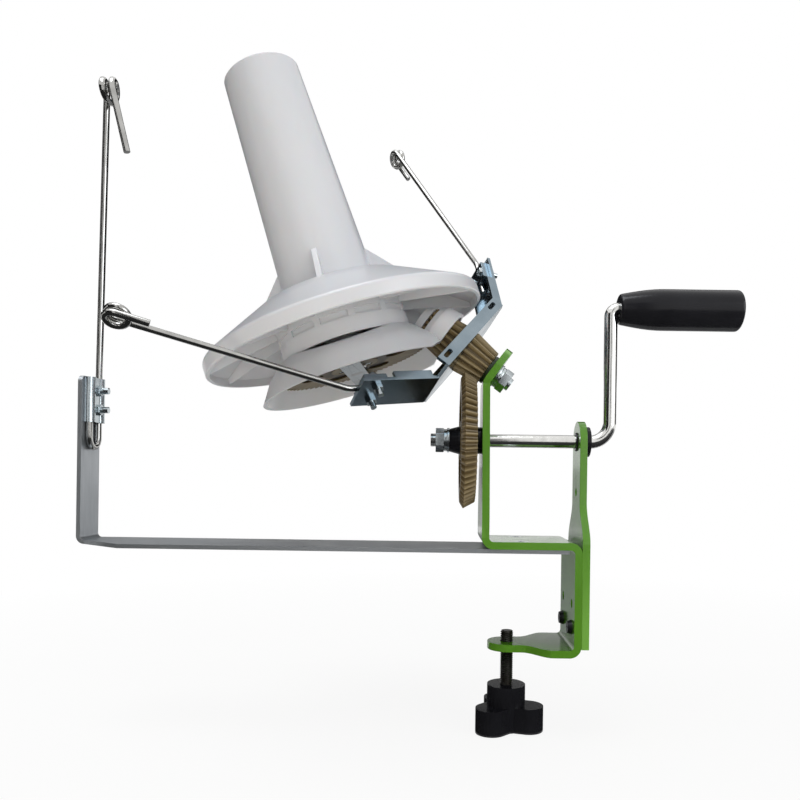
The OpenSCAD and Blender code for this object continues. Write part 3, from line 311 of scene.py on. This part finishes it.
def threaded_rod(name, start, direction, length, crest, material, body):
    """A rod with a cut thread from start along direction, chamfered at both ends."""
    mesh = bpy.data.meshes.new(name)
    bm = bmesh.new()
    axis = Vector(direction).normalized()
    turn = axis.to_track_quat("Z", "Y").to_matrix().to_4x4()
    rows = max(2, round(length / THREAD_PITCH * THREAD_ROWS))
    rings = []
    for row in range(rows + 1):
        z = length * row / rows
        ends = min(z, length - z)
        top = crest - max(0.0, THREAD_CHAMFER - ends) * THREAD_TAPER
        ring = []
        for side in range(THREAD_SIDES):
            phase = (z / THREAD_PITCH - side / THREAD_SIDES) % 1.0
            radius = min(top, crest - THREAD_DEPTH * abs(2.0 * phase - 1.0))
            angle = 2.0 * math.pi * side / THREAD_SIDES
            ring.append(bm.verts.new((radius * math.cos(angle), radius * math.sin(angle), z)))
        rings.append(ring)
    for lower, upper in zip(rings, rings[1:]):
        for side in range(THREAD_SIDES):
            after = (side + 1) % THREAD_SIDES
            bm.faces.new((lower[side], lower[after], upper[after], upper[side]))
    bm.faces.new(list(reversed(rings[0])))
    bm.faces.new(rings[-1])
    bm.transform(Matrix.Translation(Vector(start)) @ turn)
    bm.to_mesh(mesh)
    bm.free()
    obj = bpy.data.objects.new(name, mesh)
    bpy.context.scene.collection.objects.link(obj)
    mesh.materials.append(material)
    smooth = obj.modifiers.new("smooth", "NODES")
    smooth.node_group = SMOOTHING
    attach(obj, body)
    return obj


dress(zinc_plate, 0.0, "spindle_axle")
dress(bright_steel, 0.0, "cone_post")
flyer_dir = Vector(joints["flyer_spin"]["axis"])
flyer_pos = Vector(joints["flyer_spin"]["pos_m"])
threaded_rod("axle_thread", flyer_pos + flyer_dir * (AXLE_END - THREAD_SINK), flyer_dir,
             STUB_LEN, THREAD_CREST, zinc_plate, "frame")

dark_spacer, tree, shader, place = new_finish("dark_spacer")
tree.links.new(add_ramp(tree, add_noise(tree, place, 80.0), 0.3, 0.7, SPACER_GREEN,
                        tuple(c * 1.7 for c in SPACER_GREEN)), shader.inputs["Base Color"])
shader.inputs["Roughness"].default_value = 0.42
add_bump(tree, shader, add_noise(tree, place, 500.0), 0.02 * MM, 0.3)
dress(dark_spacer, 0.3 * MM, "pinion_spacer")


# White mouldings: the winding cone with its tube, fins, flange and skirt, and the fixed
# bell with the hood over the pinion. Glossy polystyrene, a little milky, with faint flow.
WHITE = (0.72, 0.72, 0.735)
WHITE_COOL = (0.67, 0.675, 0.70)
MOULD_EDGE = 0.5 * MM

white_plastic, tree, shader, place = new_finish("white_plastic")
flow = add_noise(tree, place, 14.0, 4.0)
tree.links.new(add_ramp(tree, flow, 0.30, 0.70, WHITE_COOL, WHITE), shader.inputs["Base Color"])
set_shine(tree, shader, place, scale=32.0, detail=3.0, low=0.26, high=0.36)
add_bump(tree, shader, add_noise(tree, place, 650.0, 2.0), 0.015 * MM, 0.25)
shader.inputs["Subsurface Weight"].default_value = 0.12
shader.inputs["Subsurface Scale"].default_value = 2.0 * MM
shader.inputs["Coat Weight"].default_value = 0.15
shader.inputs["Coat Roughness"].default_value = 0.2
dress(white_plastic, MOULD_EDGE, "spindle_cone", "gear_housing")


# Gears: bevel gears and pinions moulded in a golden brown resin, matt on the flanks, with
# painted shade darkening the grooves between the teeth and a painted highlight on the tooth edges.
GEAR_BROWN = (0.140, 0.098, 0.040)
GEAR_DARK = (0.080, 0.054, 0.020)
GEAR_EDGE_HIGHLIGHT = (0.340, 0.260, 0.135)
GEAR_GROOVE_SHADE = (0.018, 0.011, 0.004)
# painted shade: a darker copy of the gear resin for the cone gear, which sits in the shadow inside
# the bell
SHADED_GEAR_BROWN = (0.085, 0.058, 0.022)
SHADED_GEAR_DARK = (0.045, 0.030, 0.011)
TOOTH_EDGE = 0.12 * MM


def moulded_brown(name, dark, brown):
    """Brown resin, with painted shade in the grooves and a painted highlight on the edges."""
    resin_brown, tree, shader, place = new_finish(name)
    gear_colour = add_ramp(tree, add_noise(tree, place, 55.0, 4.0), 0.30, 0.70, dark, brown)
    # painted shade: the grooves between the teeth are darkened to stand for their shadow
    gear_colour = blend_colours(tree, add_edge_wear_and_light(tree, 0.50, 0.475), gear_colour, GEAR_GROOVE_SHADE)
    # painted highlight: the tooth edges are lightened to stand for the light they catch
    edge_highlight = add_edge_wear_and_light(tree, 0.53, 0.62)
    tree.links.new(blend_colours(tree, edge_highlight, gear_colour, GEAR_EDGE_HIGHLIGHT), shader.inputs["Base Color"])
    set_shine(tree, shader, place, scale=120.0, detail=3.0, low=0.34, high=0.50)
    add_bump(tree, shader, add_noise(tree, place, 480.0, 2.0), 0.03 * MM, 0.3)
    return resin_brown


gear_brown = moulded_brown("gear_brown", GEAR_DARK, GEAR_BROWN)
dress(gear_brown, TOOTH_EDGE, "drive_gear", "drive_pinion", "cone_pinion", segments=1)
# The cone gear gets the darker copy of the resin, painted shade for the shadow inside the bell.
shaded_cone_gear = moulded_brown("shaded_cone_gear_brown", SHADED_GEAR_DARK, SHADED_GEAR_BROWN)
dress(shaded_cone_gear, TOOTH_EDGE, "cone_gear", segments=1)


# Crank: an 8 mm bright steel rod, bent twice, with an M8 thread cut on its inner end.
# Black moulded bearings, the gear's clamping hub and the handle are glossy plastic.
BLACK = (0.0075, 0.0075, 0.0095)
BLACK_LIGHT = (0.013, 0.013, 0.016)
CRANK_LIGHT = (0.80, 0.795, 0.77)
CRANK_DARK = (0.68, 0.675, 0.65)
CRANK_THREAD_LEN = 2.6 * MM

crank_steel = drawn_steel("crank_steel", CRANK_DARK, CRANK_LIGHT)
dress(crank_steel, 0.3 * MM, "crank_rod")
crank_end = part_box("crank_rod")[0].x
crank_height = joints["crank_turn"]["pos_m"][2]
threaded_rod("crank_thread", (crank_end - THREAD_SINK, 0.0, crank_height), (1.0, 0.0, 0.0),
             CRANK_THREAD_LEN, THREAD_CREST, zinc_plate, "crank")

black_plastic, tree, shader, place = new_finish("black_plastic")
tree.links.new(add_ramp(tree, add_noise(tree, place, 40.0), 0.3, 0.7, BLACK, BLACK_LIGHT),
               shader.inputs["Base Color"])
set_shine(tree, shader, place, scale=65.0, detail=3.0, low=0.16, high=0.28)
add_bump(tree, shader, add_noise(tree, place, 420.0, 2.0), 0.02 * MM, 0.25)
shader.inputs["Specular IOR Level"].default_value = 0.22
dress(black_plastic, 0.4 * MM, "front_bush", "rear_bush", "gear_hub", "crank_grip", "grip_plug")


# Flyer: a plated channel with two raised legs; each leg carries a bright wire under a
# saddle with two screws, and each wire ends in a coiled eye for the yarn.
# painted shade: a darker copy of the zinc plate for the yoke and its saddles, standing in for the
# dark reflections on them
YOKE_SHADED_ZINC = (0.30, 0.36, 0.40)
YOKE_SHADED_DULL = (0.20, 0.255, 0.295)
YOKE_EDGE = 0.4 * MM

# darker zinc for the yoke and saddles: painted shade for their dark reflections
shaded_yoke_zinc = plating("shaded_yoke_zinc", YOKE_SHADED_DULL, YOKE_SHADED_ZINC)
dress(shaded_yoke_zinc, YOKE_EDGE, "yoke", "flyer_clips")
dress(bright_steel, 0.0, "flyer_wire_near", "flyer_wire_far")


# Clamp: an M8 screw with a dull, slightly brown thread, turned by a black three-lobed
# knob with soft edges.
SCREW_GREY = (0.075, 0.073, 0.068)
SCREW_BROWN = (0.035, 0.031, 0.026)
KNOB_EDGE = 1.0 * MM

screw_steel, tree, shader, place = new_finish("screw_steel")
rust = add_noise(tree, place, 120.0, 5.0)
tree.links.new(add_ramp(tree, rust, 0.35, 0.65, SCREW_BROWN, SCREW_GREY), shader.inputs["Base Color"])
tree.links.new(add_range(tree, rust, 0.5, 0.3), shader.inputs["Roughness"])
shader.inputs["Metallic"].default_value = 0.9
screw_low, screw_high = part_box("clamp_screw")
screw = threaded_rod("clamp_screw_thread", (0.0, 0.0, screw_low.z), (0.0, 0.0, 1.0),
                     screw_high.z - screw_low.z, (screw_high.x - screw_low.x) / 2.0, screw_steel,
                     "clamp_screw")
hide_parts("clamp_screw")
dress(black_plastic, KNOB_EDGE, "clamp_knob", segments=4)


# Studio: a pale floor under the knob that fades into a white surround, four soft lamps,
# and dark, grey and lit cards out of the camera's sight, which show only as reflections.
FLOOR_SIZE = 6.0
FLOOR_WHITE = (0.93, 0.91, 0.87)
FADE_START = 0.15
FADE_END = 0.75
NEAR_GLOW = 0.90
floor_mesh = bpy.data.meshes.new("floor")
floor_z = cad_low.z - 1.0 * MM
half = FLOOR_SIZE / 2.0
floor_mesh.from_pydata([(-half, -half, floor_z), (half, -half, floor_z), (half, half, floor_z),
                        (-half, half, floor_z)], [], [(0, 1, 2, 3)])
floor = bpy.data.objects.new("floor", floor_mesh)
bpy.context.scene.collection.objects.link(floor)


def seen_rays(tree):
    """1 for rays that show the surround itself: camera, glossy and transmission rays."""
    rays = tree.nodes.new("ShaderNodeLightPath")
    first = tree.nodes.new("ShaderNodeMath")
    first.operation = "MAXIMUM"
    tree.links.new(rays.outputs["Is Camera Ray"], first.inputs[0])
    tree.links.new(rays.outputs["Is Glossy Ray"], first.inputs[1])
    second = tree.nodes.new("ShaderNodeMath")
    second.operation = "MAXIMUM"
    tree.links.new(first.outputs[0], second.inputs[0])
    tree.links.new(rays.outputs["Is Transmission Ray"], second.inputs[1])
    return second.outputs[0]


pale_floor = bpy.data.materials.new("pale_floor")
pale_floor.use_nodes = True
tree = pale_floor.node_tree
surface = tree.nodes["Principled BSDF"]
surface.inputs["Base Color"].default_value = (*FLOOR_WHITE, 1.0)
surface.inputs["Roughness"].default_value = 0.9
glow = tree.nodes.new("ShaderNodeEmission")
floor_place = tree.nodes.new("ShaderNodeTexCoord")
reach = tree.nodes.new("ShaderNodeVectorMath")
reach.operation = "LENGTH"
tree.links.new(floor_place.outputs["Object"], reach.inputs[0])
fade = tree.nodes.new("ShaderNodeMapRange")
fade.inputs["From Min"].default_value = FADE_START
fade.inputs["From Max"].default_value = FADE_END
fade.inputs["To Min"].default_value = NEAR_GLOW
tree.links.new(reach.outputs["Value"], fade.inputs["Value"])
lift = tree.nodes.new("ShaderNodeMath")
lift.operation = "MULTIPLY"
tree.links.new(fade.outputs["Result"], lift.inputs[1])
tree.links.new(seen_rays(tree), lift.inputs[0])
join = tree.nodes.new("ShaderNodeMixShader")
tree.links.new(lift.outputs[0], join.inputs["Fac"])
tree.links.new(surface.outputs["BSDF"], join.inputs[1])
tree.links.new(glow.outputs["Emission"], join.inputs[2])
tree.links.new(join.outputs["Shader"], tree.nodes["Material Output"].inputs["Surface"])
floor_mesh.materials.append(pale_floor)

world = bpy.data.worlds.new("surround")
world.use_nodes = True
bpy.context.scene.world = world
tree = world.node_tree
background = tree.nodes["Background"]
background.inputs["Color"].default_value = (1.0, 1.0, 1.0, 1.0)
AMBIENT = 0.27
tree.links.new(add_range(tree, seen_rays(tree), AMBIENT, 1.0), background.inputs["Strength"])


def soft_lamp(name, place, aim, size, power, tint, mirrored=True):
    """A square area lamp at place, turned towards aim; mirrored ones show in polished metal."""
    light = bpy.data.lights.new(name, "AREA")
    light.size = size
    light.energy = power
    light.color = tint
    lamp = bpy.data.objects.new(name, light)
    lamp.location = place
    lamp.rotation_euler = (Vector(aim) - Vector(place)).to_track_quat("-Z", "Y").to_euler()
    lamp.visible_glossy = mirrored
    bpy.context.scene.collection.objects.link(lamp)


LAMP_AIM = (-0.06, 0.0, 0.10)
COOL = (0.91, 0.95, 1.0)
WARM = (1.0, 0.95, 0.86)
AMBER = (1.0, 0.90, 0.76)
soft_lamp("key", (1.25, -0.95, 0.55), LAMP_AIM, 1.0, 9.0, COOL)
soft_lamp("front", (0.05, -0.85, -0.07), LAMP_AIM, 0.6, 2.4, WARM, mirrored=False)
soft_lamp("top", (-0.4, -0.3, 1.6), LAMP_AIM, 0.9, 13.0, COOL)
soft_lamp("low", (-0.17, -0.30, -0.14), (-0.11, 0.0, 0.19), 0.25, 0.60, AMBER, mirrored=False)


def felt(name, grey, lit=0.0):
    """A matt cloth for the cards, lit from behind where lit is given."""
    cloth = bpy.data.materials.new(name)
    cloth.use_nodes = True
    surface = cloth.node_tree.nodes["Principled BSDF"]
    surface.inputs["Base Color"].default_value = (grey, grey, grey, 1.0)
    surface.inputs["Roughness"].default_value = 1.0
    surface.inputs["Emission Color"].default_value = (1.0, 1.0, 1.0, 1.0)
    surface.inputs["Emission Strength"].default_value = lit
    return cloth


dark_felt = felt("dark_felt", 0.02)
grey_felt = felt("grey_felt", 0.50)
lit_felt = felt("lit_felt", 0.50, 0.24)


def card(name, place, aim, width, height, cloth):
    """A card that only reflections see, standing at place and facing aim."""
    mesh = bpy.data.meshes.new(name)
    w, h = width / 2.0, height / 2.0
    mesh.from_pydata([(-w, -h, 0.0), (w, -h, 0.0), (w, h, 0.0), (-w, h, 0.0)], [], [(0, 1, 2, 3)])
    mesh.materials.append(cloth)
    board = bpy.data.objects.new(name, mesh)
    board.location = place
    board.rotation_euler = (Vector(aim) - Vector(place)).to_track_quat("Z", "Y").to_euler()
    board.visible_camera = False
    board.visible_diffuse = False
    board.visible_shadow = False
    board.visible_transmission = False
    bpy.context.scene.collection.objects.link(board)


card("card_front", (0.0, -1.6, 0.05), LAMP_AIM, 0.3, 2.2, dark_felt)
card("card_near_left", (-1.15, -1.1, 0.35), LAMP_AIM, 1.3, 1.1, dark_felt)
card("card_left", (-1.7, 0.5, 0.7), LAMP_AIM, 2.2, 1.4, dark_felt)
card("card_right", (1.7, 0.9, 0.7), LAMP_AIM, 1.6, 1.2, dark_felt)
card("card_back", (0.0, 1.8, 0.95), LAMP_AIM, 3.2, 1.2, dark_felt)
card("card_back_low", (-0.75, 1.75, -0.02), (-0.75, 0.0, -0.02), 1.45, 0.18, lit_felt)
card("card_floor_front", (0.0, -0.70, floor_z + 2.0 * MM), (0.0, -0.70, 1.0), 3.0, 1.7, dark_felt)
card("card_floor_back", (0.0, 0.85, floor_z + 2.0 * MM), (0.0, 0.85, 1.0), 2.6, 1.3, grey_felt)


# Camera: close in front of the winder, level with the table plate, turned a little on
# its own axis, with the frame shifted to hold the whole object.
CAMERA_PLACE = (-0.0413, -0.450, 0.0455)
CAMERA_ROLL = math.radians(0.8)
camera_data = bpy.data.cameras.new("camera")
camera_data.sensor_width = 36.0
camera_data.lens = 32.85
camera_data.shift_x = -0.0525
camera_data.shift_y = 0.09375
camera = bpy.data.objects.new("camera", camera_data)
camera.matrix_world = (Matrix.Translation(CAMERA_PLACE) @ Matrix.Rotation(math.radians(90), 4, "X")
                       @ Matrix.Rotation(CAMERA_ROLL, 4, "Z"))
bpy.context.scene.collection.objects.link(camera)
bpy.context.scene.camera = camera
bpy.context.scene.view_settings.view_transform = "Standard"

bpy.context.view_layer.update()
